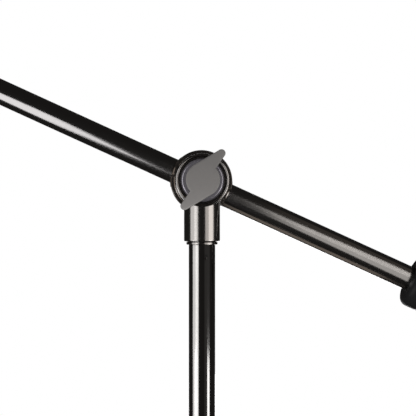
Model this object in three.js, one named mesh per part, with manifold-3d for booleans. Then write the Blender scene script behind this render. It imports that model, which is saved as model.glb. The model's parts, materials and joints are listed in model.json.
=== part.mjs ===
// A boom stand of the C-stand family: a three-legged base whose legs swing flat, a column with two
// telescoping risers, a one-knob clutch on top, and a counterweighted boom that slides through the clutch.
//
// Millimetres, +Z up, +X to the right and -Y towards the person who faces the clutch knob.
// Everything is first built round the mast axis and then moved so that the origin lies on the floor at the
// centre of the object's bounding box.

import * as THREE from "three";
import { mergeVertices } from "three/addons/utils/BufferGeometryUtils.js";
import Module from "manifold-3d";

const wasm = await Module();
wasm.setup();

// ---------------------------------------------------------------- driving dimensions

const FIT = 0.3; // radial gap between pieces that touch or slide on each other
const DEG = Math.PI / 180;

// Base
const LEG_REACH = 400; // mast axis to the middle of a foot
const LEG_R = 12.5;
const LEG_WALL = 2;
const LEG_BEND = 72; // centre-line radius of the bend down to the foot
const FOOT_R = 17;
const FOOT_HEIGHT = 34;
const RING_R = 25; // leg rings, which stack on the column
const RING_HEIGHT = 44;
const RING_PITCH = 46;
const LOWEST_RING_Z = 166; // middle of the lowest leg ring
const LEG_ANGLES = [180, 60, -60]; // leg 1 is the tallest and stands under the boom's long side

// Mast
const COLUMN_R = 17.5;
const COLUMN_WALL = 2;
const COLUMN_Z = [116, 618];
const RISER_1_R = 15;
const RISER_1_WALL = 1.8;
const RISER_1_Z = [160, 680];
const RISER_2_R = 12.5;
const RISER_2_WALL = 1.5;
const COLLAR_HEIGHT = 62; // lock collar on the column and on riser 1
const COLUMN_COLLAR_Z = 590;
const RISER_COLLAR_Z = 654;

// Clutch
const PIVOT_Z = 1000; // height of the clutch axis, with riser 2 part way up
const BOOM_Y = 30; // the boom passes behind the mast
const BOOM_DROP = 1.9; // how far the boom's axis runs below the clutch axis, square to the boom
const SOCKET_R = 17; // sleeve that takes the top of riser 2
const SOCKET_BOTTOM = -57.3; // from the clutch axis
const SOCKET_DEPTH = 24.5;
const FACE_R = 24.9; // round front half of the clutch
const FACE_FRONT = -19;
const FACE_REAR = 6;
const RECESS_R = 22.5; // pocket in the front half, which the knob sits in
const DRUM_R = 29.6; // rear half of the clutch, which holds the boom
const DRUM_Y = [8.2, 50.5];
const DRUM_SHOULDER_Y = 16; // outside FACE_R the drum starts here, and the barrel stands proud of it
const BOLT_R = 5;

// Boom
const BOOM_TILT = 24.5 * DEG; // the counterweight end hangs this far below level
const BOOM_R = 11.75;
const BOOM_WALL = 1.5;
const BOOM_X = [-760, 350]; // along the boom, from the clutch axis
const WEIGHT_X = [224.3, 320.3];
const WEIGHT_R = 25.8;
const WEIGHT_ROUND = 9.5;

// Clutch knob
const KNOB_ANGLE = 55 * DEG; // how far its wings stand round from level
const KNOB = { hub: 15.8, reach: 29.5, tip: 3.7, thickness: 8 };
const LOCK_KNOB = { hub: 10, reach: 21, tip: 2.9, thickness: 6.5 };

// ---------------------------------------------------------------- materials

const finish = (color, roughness, metalness) => new THREE.MeshStandardMaterial({ color, roughness, metalness });
const tubeChrome = finish(0x1b191a, 0.2, 0.9);
const castChrome = finish(0x3a3637, 0.25, 0.9);
const knobGrey = finish(0x777472, 0.5, 0.3);
const weightBlack = finish(0x151517, 0.5, 0.1);
const rubber = finish(0x121212, 0.8, 0);
const steel = finish(0x9b9b9d, 0.3, 1);
const brass = finish(0xb08d4a, 0.35, 1);
const nylon = finish(0x1f1f20, 0.6, 0);
const fibre = finish(0x5a4636, 0.85, 0);

// ---------------------------------------------------------------- solids

function toSolid(geometry) {
  const bare = geometry.clone();
  bare.deleteAttribute("normal");
  bare.deleteAttribute("uv");
  const merged = mergeVertices(bare, 1e-3);
  const mesh = new wasm.Mesh({
    numProp: 3,
    vertProperties: merged.getAttribute("position").array,
    triVerts: new Uint32Array(merged.index.array),
  });
  return new wasm.Manifold(mesh);
}

function fromSolid(solid) {
  const mesh = solid.getMesh();
  const geometry = new THREE.BufferGeometry();
  geometry.setAttribute("position", new THREE.BufferAttribute(mesh.vertProperties, 3));
  geometry.setIndex(new THREE.BufferAttribute(mesh.triVerts, 1));
  geometry.computeVertexNormals();
  return geometry;
}

const join = (...shapes) => fromSolid(shapes.map(toSolid).reduce((all, next) => all.add(next)));
const cut = (shape, ...tools) => fromSolid(tools.map(toSolid).reduce((left, tool) => left.subtract(tool), toSolid(shape)));
const common = (a, b) => fromSolid(toSolid(a).intersect(toSolid(b)));

// Facets round a circle: finer where it is larger.
const facets = (radius) => 4 * Math.round(Math.min(7, Math.max(3, 2 + radius / 5.2)));

// Turns a profile of [radius, height] points round an axis. A profile that doesn't start on the axis is closed.
function turned(profile, axis = "z") {
  const closed = profile[0][0] === 0 ? profile : [...profile, profile[0]];
  const points = closed.map(([r, h]) => new THREE.Vector2(r, h));
  const widest = Math.max(...profile.map(([r]) => r));
  const ordered = THREE.ShapeUtils.area(points) < 0 ? points.reverse() : points;
  const geometry = new THREE.LatheGeometry(ordered, facets(widest));
  if (axis === "z") geometry.rotateX(Math.PI / 2);
  if (axis === "x") geometry.rotateZ(-Math.PI / 2);
  return geometry;
}

const rod = (radius, from, to, axis) =>
  turned([[0, from], [radius, from], [radius, to], [0, to]], axis);
const sleeve = (inner, outer, from, to, axis) =>
  turned([[inner, from], [outer, from], [outer, to], [inner, to]], axis);

// A round bar or pipe with small chamfers on its outer edges.
const chamferedSleeve = (inner, outer, from, to, edge, axis) =>
  turned(
    [
      [inner, from],
      [outer - edge, from],
      [outer, from + edge],
      [outer, to - edge],
      [outer - edge, to],
      [inner, to],
    ],
    axis,
  );

// Points of a round edge in a turned profile, from angle a to angle b round a centre at (r, h).
function roundEdge(r, h, radius, a, b, steps = 3) {
  const turn = (i) => (a + ((b - a) * i) / steps) * DEG;
  return Array.from({ length: steps + 1 }, (_, i) => [
    r + radius * Math.cos(turn(i)),
    h + radius * Math.sin(turn(i)),
  ]);
}

// ---------------------------------------------------------------- groups and pieces

const stand = new THREE.Group();

function groupIn(parent, x = 0, y = 0, z = 0) {
  const group = new THREE.Group();
  group.position.set(x, y, z);
  parent.add(group);
  return group;
}

function piece(parent, name, material, geometry) {
  const mesh = new THREE.Mesh(geometry, material);
  mesh.name = name;
  parent.add(mesh);
}

// ---------------------------------------------------------------- base

// Centre line of a leg: level from its ring, round the bend, then straight down into its foot. Its first and
// last steps are the straight stretches, and the steps between them share the bend.
const LEG_STEPS = 8;

class LegLine extends THREE.Curve {
  constructor(start, height, end) {
    super();
    this.start = start;
    this.height = height;
    this.end = end;
  }

  getUtoTmapping(u) {
    return u;
  }

  getPoint(t, target = new THREE.Vector3()) {
    const step = t * LEG_STEPS;
    const turn = Math.min(1, Math.max(0, (step - 1) / (LEG_STEPS - 2))) * (Math.PI / 2);
    const before = Math.max(0, 1 - step) * (LEG_REACH - LEG_BEND - this.start);
    const after = Math.max(0, step - LEG_STEPS + 1) * (this.height - LEG_BEND - this.end);
    return target.set(
      LEG_REACH - LEG_BEND + LEG_BEND * Math.sin(turn) - before,
      0,
      this.height - LEG_BEND + LEG_BEND * Math.cos(turn) - after,
    );
  }
}

function circleShape(radius, sides) {
  const corners = Array.from({ length: sides }, (_, i) => {
    const angle = (2 * Math.PI * i) / sides;
    return new THREE.Vector2(radius * Math.cos(angle), radius * Math.sin(angle));
  });
  return new THREE.Shape(corners);
}

function pipeAlong(line, radius, inner, steps, sides) {
  const outside = new THREE.ExtrudeGeometry(circleShape(radius, sides), { extrudePath: line, steps });
  if (!inner) return outside;
  const section = circleShape(radius, sides);
  section.holes.push(circleShape(inner, sides));
  return new THREE.ExtrudeGeometry(section, { extrudePath: line, steps });
}

const BOSS_R = LEG_R + 2.9; // leg socket on a ring
const BOSS_END = 58;
const TUBE_START = 31;
const FOOT_FLOOR = 8; // rubber under the end of the tube

function legRing(height) {
  const ring = chamferedSleeve(5, RING_R, height - RING_HEIGHT / 2, height + RING_HEIGHT / 2, 2);
  const boss = chamferedSleeve(2, BOSS_R, RING_R - 14, BOSS_END, 1.2, "x").translate(0, 0, height);
  const shaft = rod(COLUMN_R + FIT + 0.1, height - RING_HEIGHT, height + RING_HEIGHT);
  const pocket = rod(LEG_R + FIT, TUBE_START - 1, BOSS_END + 1, "x").translate(0, 0, height);
  return cut(join(ring, boss), shaft, pocket);
}

// A roll pin through the top of the socket, which holds the leg tube.
function legPin(height) {
  return rod(2.2, height + LEG_R - LEG_WALL - 1, height + BOSS_R + 0.4).translate(46, 0, 0);
}

function leg(number) {
  const swing = groupIn(stand);
  swing.rotation.z = LEG_ANGLES[number - 1] * DEG;
  const height = LOWEST_RING_Z + (3 - number) * RING_PITCH;
  const hole = rod(2.5, height, height + RING_HEIGHT).translate(46, 0, 0);
  const line = new LegLine(TUBE_START, height, FOOT_FLOOR + FIT);
  const tube = pipeAlong(line, LEG_R, LEG_R - LEG_WALL, LEG_STEPS, 16);
  piece(swing, `leg_${number}_ring`, castChrome, cut(legRing(height), hole));
  piece(swing, `leg_${number}_tube`, tubeChrome, cut(tube, hole));
  piece(swing, `leg_${number}_pin`, steel, legPin(height));
  piece(swing, `leg_${number}_foot`, rubber, foot());
}

function foot() {
  return turned([
    [0, 0],
    [FOOT_R - 2, 0],
    [FOOT_R, 3],
    [FOOT_R - 1, FOOT_HEIGHT - 2],
    [LEG_R + 2.2, FOOT_HEIGHT],
    [LEG_R + FIT, FOOT_HEIGHT],
    [LEG_R + FIT, FOOT_FLOOR],
    [0, FOOT_FLOOR],
  ]).translate(LEG_REACH, 0, 0);
}

// The cap under the rings holds the spring that keeps them pressed together.
const CAP_TOP = LOWEST_RING_Z - RING_HEIGHT / 2 - 0.8;
const SPRING = { radius: 20.3, wire: 1.6, from: CAP_TOP - 15.2, rise: 12, turns: 3 };

class Helix extends THREE.Curve {
  getPoint(t, target = new THREE.Vector3()) {
    const angle = 2 * Math.PI * SPRING.turns * t;
    return target.set(SPRING.radius * Math.cos(angle), SPRING.radius * Math.sin(angle), SPRING.from + SPRING.rise * t);
  }
}

function baseParts() {
  const top = LOWEST_RING_Z + 2 * RING_PITCH + RING_HEIGHT / 2;
  piece(stand, "column_tube", tubeChrome, sleeve(COLUMN_R - COLUMN_WALL, COLUMN_R, ...COLUMN_Z));
  piece(
    stand,
    "base_cap",
    castChrome,
    turned([
      [0, CAP_TOP - 34],
      [RING_R - 6, CAP_TOP - 34],
      [RING_R, CAP_TOP - 28],
      [RING_R, CAP_TOP],
      [RING_R - 2.6, CAP_TOP],
      [RING_R - 2.6, CAP_TOP - 18],
      [COLUMN_R + FIT, CAP_TOP - 18],
      [COLUMN_R + FIT, COLUMN_Z[0] - FIT],
      [0, COLUMN_Z[0] - FIT],
    ]),
  );
  piece(stand, "leg_spring", steel, pipeAlong(new Helix(), SPRING.wire, 0, 36, 5));
  piece(stand, "leg_stop_collar", castChrome, chamferedSleeve(COLUMN_R + FIT, 22.5, top + 1, top + 13, 1.5));
  for (const number of [1, 2, 3]) leg(number);
}

// ---------------------------------------------------------------- outlines and clamp screws

// A round hub with two wings. Each wing leaves the hub on a tangent and comes back to it at a corner.
function wingOutline({ hub, reach, tip }) {
  const tangent = Math.PI / 2 - Math.asin((hub - tip) / reach);
  const corner = -Math.asin(tip / hub);
  const shape = new THREE.Shape();
  for (const half of [0, Math.PI]) {
    const x = reach * Math.cos(half);
    shape.absarc(x, 0, tip, half - Math.PI / 2, half + tangent, false);
    shape.absarc(0, 0, hub, half + tangent, half + Math.PI + corner, false);
  }
  shape.closePath();
  return shape;
}

// The winged plate, with its front at y = front, facing -Y.
function wings(knob, front, angle) {
  const edge = 1;
  const plate = new THREE.ExtrudeGeometry(wingOutline({ ...knob, hub: knob.hub - edge, tip: knob.tip - edge }), {
    depth: knob.thickness - 2 * edge,
    bevelThickness: edge,
    bevelSize: edge,
    bevelSegments: 1,
    curveSegments: 6,
  });
  plate.rotateZ(angle);
  plate.rotateX(Math.PI / 2);
  return plate.translate(0, front + knob.thickness - edge, 0);
}

// A clamp screw with a winged knob and a pad, along -Y from the surface that the pad presses at y = -radius.
const PAD_R = 6;
const PAD_LENGTH = 4.5;
const SCREW_R = 4;
const LOCK_BOSS_R = 9.5;

function lockBoss(radius, out) {
  return rod(LOCK_BOSS_R, -out, -radius - 2, "y");
}

function lockHoles(radius) {
  const chamber = rod(PAD_R + FIT, -radius - PAD_LENGTH - 2.2, -radius + 4, "y");
  return join(chamber, rod(SCREW_R + FIT, -radius - 60, -radius, "y"));
}

function lockParts(parent, name, radius, out, angle, along = "z") {
  const pad = rod(PAD_R, -radius - FIT - PAD_LENGTH, -radius + 6, "y");
  const tube = rod(radius + FIT, -20, 20, along);
  const screwTip = -radius - 2 * FIT - PAD_LENGTH;
  const front = -out - 14;
  const hub = rod(LOCK_KNOB.hub - 2, front + LOCK_KNOB.thickness - 1, -out - 2, "y");
  const socket = rod(SCREW_R + FIT, front + 3, 0, "y");
  piece(parent, `${name}_pad`, brass, cut(pad, tube));
  piece(parent, `${name}_screw`, steel, rod(SCREW_R, front + 3 + FIT, screwTip, "y"));
  piece(parent, `${name}_knob`, knobGrey, cut(join(wings(LOCK_KNOB, front, angle), hub), socket));
}

// ---------------------------------------------------------------- telescoping mast

// A lock collar fixed on one tube, with a tighter bore above it that guides the next tube.
function lockCollar(outer, tube, next, out) {
  const step = 28; // the lower tube ends here
  const body = turned([
    [next + FIT, step],
    [tube + FIT, step],
    [tube + FIT, 0],
    [outer - 1.5, 0],
    [outer, 2],
    [outer, COLLAR_HEIGHT - 6],
    [outer - 3.5, COLLAR_HEIGHT],
    [next + FIT, COLLAR_HEIGHT],
  ]);
  const middle = COLLAR_HEIGHT - 19;
  const boss = lockBoss(next, out).translate(0, 0, middle);
  const bore = rod(next + FIT, step + 1, COLLAR_HEIGHT + 1);
  return cut(join(body, boss), lockHoles(next).translate(0, 0, middle), bore);
}

// A plug in the foot of a riser, whose flange guides it inside the tube below.
const guideBush = (tubeInner, flange, tubeBottom) =>
  turned([
    [tubeInner - 4.5, tubeBottom - 10],
    [flange, tubeBottom - 10],
    [flange, tubeBottom - FIT],
    [tubeInner - FIT, tubeBottom - FIT],
    [tubeInner - FIT, tubeBottom + 15],
    [tubeInner - 4.5, tubeBottom + 15],
  ]);

const COLUMN_LOCK_OUT = 36;
const RISER_LOCK_OUT = 32;
const LOCK_RISE = COLLAR_HEIGHT - 19;
const RISER_2_Z = [420, PIVOT_Z + SOCKET_BOTTOM + SOCKET_DEPTH - FIT];
const SET_PIN_DROP = 72; // below the clutch axis
const SET_PIN_TURN = 15 * DEG; // round the mast from the front

function mastParts() {
  const riser1Inner = RISER_1_R - RISER_1_WALL;
  const riser2Inner = RISER_2_R - RISER_2_WALL;

  const onColumn = groupIn(stand, 0, 0, COLUMN_COLLAR_Z);
  piece(onColumn, "column_collar", castChrome, lockCollar(23.5, COLUMN_R, RISER_1_R, COLUMN_LOCK_OUT));
  lockParts(groupIn(onColumn, 0, 0, LOCK_RISE), "column_lock", RISER_1_R, COLUMN_LOCK_OUT, 25 * DEG);

  piece(stand, "riser_1_tube", tubeChrome, sleeve(riser1Inner, RISER_1_R, ...RISER_1_Z));
  piece(stand, "riser_1_bush", nylon, guideBush(riser1Inner, COLUMN_R - COLUMN_WALL - FIT, RISER_1_Z[0]));
  const onRiser = groupIn(stand, 0, 0, RISER_COLLAR_Z);
  piece(onRiser, "riser_1_collar", castChrome, lockCollar(20.5, RISER_1_R, RISER_2_R, RISER_LOCK_OUT));
  lockParts(groupIn(onRiser, 0, 0, LOCK_RISE), "riser_lock", RISER_2_R, RISER_LOCK_OUT, -20 * DEG);

  const atPin = (shape) => shape.rotateZ(SET_PIN_TURN).translate(0, 0, PIVOT_Z - SET_PIN_DROP);
  const pinHole = atPin(rod(2, -RISER_2_R - 2, -RISER_2_R + 4, "y"));
  const pin = atPin(rod(1.7, -RISER_2_R + 0.25, -RISER_2_R + 3.5, "y"));
  piece(stand, "riser_2_tube", tubeChrome, cut(sleeve(riser2Inner, RISER_2_R, ...RISER_2_Z), pinHole));
  piece(stand, "riser_2_bush", nylon, guideBush(riser2Inner, riser1Inner - FIT, RISER_2_Z[0]));
  piece(stand, "mast_set_pin", steel, pin);
}

// ---------------------------------------------------------------- clutch

// Front half: the sleeve on the mast and the round face that the knob bears on.
function pivotSocket() {
  const face = turned(
    [
      [BOLT_R + 0.4, FACE_REAR],
      [FACE_R, FACE_REAR],
      [FACE_R, FACE_FRONT],
      [FACE_R - 0.7, FACE_FRONT - 1],
      [RECESS_R + 0.7, FACE_FRONT - 1],
      [RECESS_R, FACE_FRONT],
      [RECESS_R, FACE_FRONT + 7],
      [BOLT_R + 0.4, FACE_FRONT + 7],
    ],
    "y",
  );
  const socket = turned([
    [0, SOCKET_BOTTOM],
    [SOCKET_R - 1, SOCKET_BOTTOM],
    [SOCKET_R, SOCKET_BOTTOM + 1.2],
    [SOCKET_R, -18],
    [0, -18],
  ]);
  const bore = rod(RISER_2_R + FIT, SOCKET_BOTTOM - 1, SOCKET_BOTTOM + SOCKET_DEPTH);
  const drumRoom = rod(DRUM_R + 0.7, FACE_REAR, 60, "y");
  const boltHole = rod(BOLT_R + 0.4, -30, 20, "y");
  const pocket = rod(RECESS_R, FACE_FRONT - 2, FACE_FRONT + 7, "y");
  return cut(join(face, socket), bore, drumRoom, boltHole, pocket);
}

const EYE_INNER = 12.9;
const EYE_OUTER = 15.9;
const EYE_HALF_WIDTH = 6.5;
const EYE_Y = BOOM_R + FIT - EYE_INNER; // bears on the back of the boom; from the boom's axis
const EYE_ROOM = 19.2; // radius of the pocket for the eye in the rear half

// Rear half, in the boom's frame: a drum with a stepped front and a barrel round the boom. y is from the
// boom's axis.
function clampHousing() {
  const front = DRUM_Y[0] - BOOM_Y;
  const shoulder = DRUM_SHOULDER_Y - BOOM_Y;
  const back = DRUM_Y[1] - BOOM_Y;
  const drum = turned(
    [
      [0, front],
      [FACE_R, front],
      [FACE_R, shoulder],
      [DRUM_R - 1.8, shoulder],
      [DRUM_R, shoulder + 1.8],
      ...roundEdge(DRUM_R - 5.5, back - 5.5, 5.5, 0, 90),
      [0, back],
    ],
    "y",
  );
  const barrel = common(rod(BOOM_R + 3.6, -40, 40, "x").translate(0, 0, -BOOM_DROP), rod(DRUM_R, -30, 30, "y"));
  const bore = rod(LINER_OUTER + FIT, -40, 40, "x").translate(0, 0, -BOOM_DROP);
  const room = rod(EYE_ROOM, EYE_Y - EYE_OUTER - FIT, back + 5, "y");
  const boltHole = rod(BOLT_R + 0.4, front - 5, 0, "y");
  return cut(join(drum, barrel), bore, room, boltHole);
}

// A bolt with an eye round the boom. The knob pulls it forward, which grips the boom and both halves at once.
function eyeBolt() {
  const eye = sleeve(EYE_INNER, EYE_OUTER, -EYE_HALF_WIDTH, EYE_HALF_WIDTH, "x").translate(0, EYE_Y, -BOOM_DROP);
  const shank = rod(BOLT_R, FACE_FRONT - 12 - BOOM_Y, EYE_Y - EYE_INNER - 1, "y");
  return join(eye, shank);
}

const LINER_OUTER = BOOM_R + FIT + 1.3;
const LINER_X = [18.2, 26]; // from the clutch axis

// A thin ring that closes the mouth of the sleeve round the mast.
const TRIM_RING = { radius: 14.7, height: 2.9, edge: 0.7 };

function trimRing() {
  const top = SOCKET_BOTTOM - FIT;
  return chamferedSleeve(RISER_2_R + FIT, TRIM_RING.radius, top - TRIM_RING.height, top, TRIM_RING.edge);
}

function clutchParts(head, tilting, onBoom) {
  piece(head, "pivot_socket", castChrome, pivotSocket());
  piece(head, "socket_trim_ring", castChrome, trimRing());
  piece(head, "friction_disc", fibre, sleeve(8, 22, FACE_REAR + FIT, DRUM_Y[0] - FIT, "y"));

  const washerBack = FACE_FRONT + 7 - FIT;
  piece(head, "spring_washer", steel, sleeve(BOLT_R + 0.6, 12, washerBack - 2, washerBack, "y"));
  piece(
    head,
    "thrust_washer",
    castChrome,
    turned(
      [
        [BOLT_R + 0.6, washerBack - 2 - FIT],
        [19.2, washerBack - 2 - FIT],
        [20.2, washerBack - 3.5],
        [20.2, washerBack - 5.5],
        [19, washerBack - 6.8],
        [BOLT_R + 0.6, washerBack - 6.8],
      ],
      "y",
    ),
  );

  const knobBack = washerBack - 6.8 - FIT;
  const knobFront = knobBack - 17;
  const hub = rod(KNOB.hub - 0.6, knobFront + 4, knobBack, "y");
  const nutRoom = rod(8.3, knobFront + 4.5, knobBack + 1, "y");
  piece(head, "wing_knob", knobGrey, cut(join(wings(KNOB, knobFront, KNOB_ANGLE), hub), nutRoom));
  piece(head, "knob_nut", brass, sleeve(BOLT_R + FIT, 8, knobFront + 5, knobBack - 0.2, "y"));

  piece(tilting, "clamp_housing", castChrome, clampHousing());
  piece(tilting, "clamp_eye_bolt", steel, eyeBolt());
  const capInner = EYE_Y + EYE_OUTER + 2.2;
  const capBack = DRUM_Y[1] - BOOM_Y;
  piece(
    tilting,
    "clutch_rear_cap",
    nylon,
    turned([[0, capInner], [EYE_ROOM - FIT, capInner], [EYE_ROOM - FIT, capBack + FIT], [EYE_ROOM + 2.2, capBack + FIT],
      [EYE_ROOM + 1.2, capBack + 2.4], [0, capBack + 3]], "y"),
  );
  piece(onBoom, "boom_liner_left", nylon, sleeve(BOOM_R + FIT, LINER_OUTER, -LINER_X[1], -LINER_X[0], "x"));
  piece(onBoom, "boom_liner_right", nylon, sleeve(BOOM_R + FIT, LINER_OUTER, ...LINER_X, "x"));
}

// ---------------------------------------------------------------- boom

function counterweight() {
  const [near, far] = WEIGHT_X;
  const flat = WEIGHT_R - WEIGHT_ROUND;
  return turned(
    [
      [BOOM_R + FIT, near],
      ...roundEdge(flat, near + WEIGHT_ROUND, WEIGHT_ROUND, -90, 0),
      ...roundEdge(flat, far - WEIGHT_ROUND, WEIGHT_ROUND, 0, 90),
      [BOOM_R + FIT, far],
    ],
    "x",
  );
}

function boomParts(onBoom) {
  const inner = BOOM_R - BOOM_WALL;
  const [tip, end] = BOOM_X;
  piece(onBoom, "boom_tube", tubeChrome, sleeve(inner, BOOM_R, tip, end, "x"));
  piece(
    onBoom,
    "boom_end_cap",
    rubber,
    turned([[0, end - 14], [inner - FIT, end - 14], [inner - FIT, end + FIT], [BOOM_R + 0.4, end + FIT],
      [BOOM_R + 0.4, end + 3], [BOOM_R - 2, end + 5], [0, end + 5]], "x"),
  );

  // Tip: a plug in the tube that carries a 16 mm spigot with a groove, and a 3/8 inch stud on its end.
  piece(
    onBoom,
    "boom_tip_plug",
    castChrome,
    turned([[5.3, tip - 12], [BOOM_R - 1.2, tip - 12], [BOOM_R + 1, tip - 9], [BOOM_R + 1, tip - FIT],
      [inner - FIT, tip - FIT], [inner - FIT, tip + 34], [5.3, tip + 34]], "x"),
  );
  const spigot = tip - 12 - FIT;
  piece(
    onBoom,
    "tip_spigot",
    steel,
    turned([[0, spigot - 52], [4, spigot - 52], [4.75, spigot - 51], [4.75, spigot - 40], [7, spigot - 40],
      [8, spigot - 39], [8, spigot - 26], [6.4, spigot - 24], [6.4, spigot - 18], [8, spigot - 16],
      [8, spigot], [5, spigot], [5, tip + 20], [0, tip + 20]], "x"),
  );

  // The counterweight's screw stands on the side that faces up.
  const weightLock = groupIn(onBoom, (WEIGHT_X[0] + WEIGHT_X[1]) / 2, 0, 0);
  weightLock.rotation.x = -Math.PI / 2;
  const holes = lockHoles(BOOM_R).rotateX(-Math.PI / 2).translate(weightLock.position.x, 0, 0);
  piece(onBoom, "counterweight", weightBlack, cut(counterweight(), holes, rod(BOOM_R + FIT, 200, 340, "x")));
  lockParts(weightLock, "weight_lock", BOOM_R, WEIGHT_R + 1, 0, "x");
}

// ---------------------------------------------------------------- assembly

baseParts();
mastParts();
const head = groupIn(stand, 0, 0, PIVOT_Z);
const tilting = groupIn(head, 0, BOOM_Y, 0);
tilting.rotation.y = BOOM_TILT;
const onBoom = groupIn(tilting, 0, 0, -BOOM_DROP);
clutchParts(head, tilting, onBoom);
boomParts(onBoom);

const box = new THREE.Box3().setFromObject(stand, true);
stand.position.x = -(box.min.x + box.max.x) / 2;

export default stand;
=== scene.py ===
# The looks of the boom stand: fine turned, swept and moulded meshes round the CAD frame, procedural metal,
# moulding and rubber, and a small studio with a clear white background.
# Places come from the CAD frame, in metres. Radii, heights, fillets and other sizes of pieces are in
# millimetres, and the sizes of lights and of the floor are in metres.

import json
import math

import bmesh
import bpy
from mathutils import Matrix, Vector

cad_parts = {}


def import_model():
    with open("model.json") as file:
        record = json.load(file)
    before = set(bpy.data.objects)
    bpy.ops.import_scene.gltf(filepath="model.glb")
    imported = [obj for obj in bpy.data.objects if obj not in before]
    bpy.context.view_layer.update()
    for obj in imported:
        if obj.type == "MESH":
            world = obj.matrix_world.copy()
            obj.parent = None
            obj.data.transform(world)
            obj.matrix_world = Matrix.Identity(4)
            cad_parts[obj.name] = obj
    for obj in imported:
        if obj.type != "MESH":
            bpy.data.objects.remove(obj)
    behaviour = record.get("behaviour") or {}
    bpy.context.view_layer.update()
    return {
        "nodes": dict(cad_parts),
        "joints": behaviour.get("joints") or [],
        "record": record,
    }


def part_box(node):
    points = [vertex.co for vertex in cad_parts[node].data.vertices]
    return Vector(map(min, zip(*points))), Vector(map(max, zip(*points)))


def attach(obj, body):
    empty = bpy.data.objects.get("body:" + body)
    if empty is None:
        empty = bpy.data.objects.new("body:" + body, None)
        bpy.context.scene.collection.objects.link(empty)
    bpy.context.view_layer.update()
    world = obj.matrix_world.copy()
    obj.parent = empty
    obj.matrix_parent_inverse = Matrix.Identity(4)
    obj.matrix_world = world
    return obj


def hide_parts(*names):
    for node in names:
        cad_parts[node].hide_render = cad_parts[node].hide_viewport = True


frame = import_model()
MM = 0.001
DEG = math.pi / 180

# Segments round a turned piece
ROUND = 128
CLUTCH_ROUND = 160
BOSS_ROUND = 96
SCREW_ROUND = 64
PIN_ROUND = 48

# ---------------------------------------------------------------- places, all from the frame

JOINTS = {joint["name"]: joint for joint in frame["joints"]}
SLOT_OF = {row["node"]: row["material_slot"] for row in frame["record"]["subparts"]}
PIVOT = Vector(JOINTS["boom_tilt"]["pos_m"])
BOOM_AXIS = Vector(JOINTS["boom_slide"]["axis"]).normalized()
TILT = math.atan2(-BOOM_AXIS.z, BOOM_AXIS.x)
UP = Vector((0, 0, 1))
FRONT = Vector((0, -1, 0))
BOOM_UP = Vector((math.sin(TILT), 0, math.cos(TILT)))


def middle(node):
    low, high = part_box(node)
    return (low + high) / 2


MAST = Vector((middle("column_tube").x, 0, 0))
CLUTCH = Vector((MAST.x, 0, PIVOT.z))  # where the clutch's axis crosses the mast's
BOOM_MIDDLE = middle("boom_tube")
BOOM = BOOM_MIDDLE + BOOM_AXIS * (PIVOT - BOOM_MIDDLE).dot(BOOM_AXIS)  # on the boom's axis, behind the clutch


def measured(node, origin, axis):
    """The node's extent along an axis from origin, and its greatest distance from it, in millimetres."""
    points = [vertex.co - origin for vertex in frame["nodes"][node].data.vertices]
    along = [point.dot(axis) / MM for point in points]
    away = max(point.cross(axis).length / MM for point in points)
    return min(along), max(along), away


def half_width(node):
    """Half the node's width in X, in millimetres."""
    low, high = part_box(node)
    return (high.x - low.x) / 2 / MM


# ---------------------------------------------------------------- shader building


class Shader:
    """A material's node tree, with short calls for the nodes used here."""

    def __init__(self, name, **inputs):
        self.material = bpy.data.materials.new(name)
        self.material.use_nodes = True
        self.tree = self.material.node_tree
        self.tree.nodes.clear()
        self.surface = self.tree.nodes.new("ShaderNodeBsdfPrincipled")
        output = self.tree.nodes.new("ShaderNodeOutputMaterial")
        self.link(self.surface.outputs["BSDF"], output.inputs["Surface"])
        for key, value in inputs.items():
            self.surface.inputs[key.replace("_", " ")].default_value = value

    def link(self, source, target):
        self.tree.links.new(source, target)

    def place(self, scale, turn=(0, 0, 0)):
        """Object coordinates in millimetres, turned and then stretched."""
        coordinates = self.tree.nodes.new("ShaderNodeTexCoord")
        turned_to = self.tree.nodes.new("ShaderNodeMapping")
        stretched = self.tree.nodes.new("ShaderNodeMapping")
        turned_to.inputs["Rotation"].default_value = turn
        stretched.inputs["Scale"].default_value = [s / MM for s in scale]
        self.link(coordinates.outputs["Object"], turned_to.inputs["Vector"])
        self.link(turned_to.outputs["Vector"], stretched.inputs["Vector"])
        return stretched.outputs["Vector"]

    def noise(self, place, detail=3, roughness=0.55):
        node = self.tree.nodes.new("ShaderNodeTexNoise")
        node.inputs["Scale"].default_value = 1
        node.inputs["Detail"].default_value = detail
        node.inputs["Roughness"].default_value = roughness
        self.link(place, node.inputs["Vector"])
        return node.outputs["Fac"]

    def spread(self, value, low, high, to_low, to_high):
        """The value from the range low to high, spread over to_low to to_high."""
        node = self.tree.nodes.new("ShaderNodeMapRange")
        for key, number in (("From Min", low), ("From Max", high), ("To Min", to_low), ("To Max", to_high)):
            node.inputs[key].default_value = number
        self.link(value, node.inputs["Value"])
        return node.outputs["Result"]

    def blend(self, factor, first, second):
        """A colour between the two."""
        node = self.tree.nodes.new("ShaderNodeMix")
        node.data_type = "RGBA"
        node.inputs["A"].default_value = (*first, 1)
        node.inputs["B"].default_value = (*second, 1)
        self.link(factor, node.inputs["Factor"])
        return node.outputs["Result"]

    def edges(self, low, high):
        """1 on sharp outer edges, 0 elsewhere."""
        node = self.tree.nodes.new("ShaderNodeNewGeometry")
        return self.spread(node.outputs["Pointiness"], low, high, 0, 1)

    def bump(self, height, distance, strength):
        """Raises the surface by up to distance, in millimetres."""
        node = self.tree.nodes.new("ShaderNodeBump")
        node.inputs["Distance"].default_value = distance * MM
        node.inputs["Strength"].default_value = strength
        self.link(height, node.inputs["Height"])
        self.link(node.outputs["Normal"], self.surface.inputs["Normal"])

    def drive(self, key, value):
        self.link(value, self.surface.inputs[key])


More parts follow.
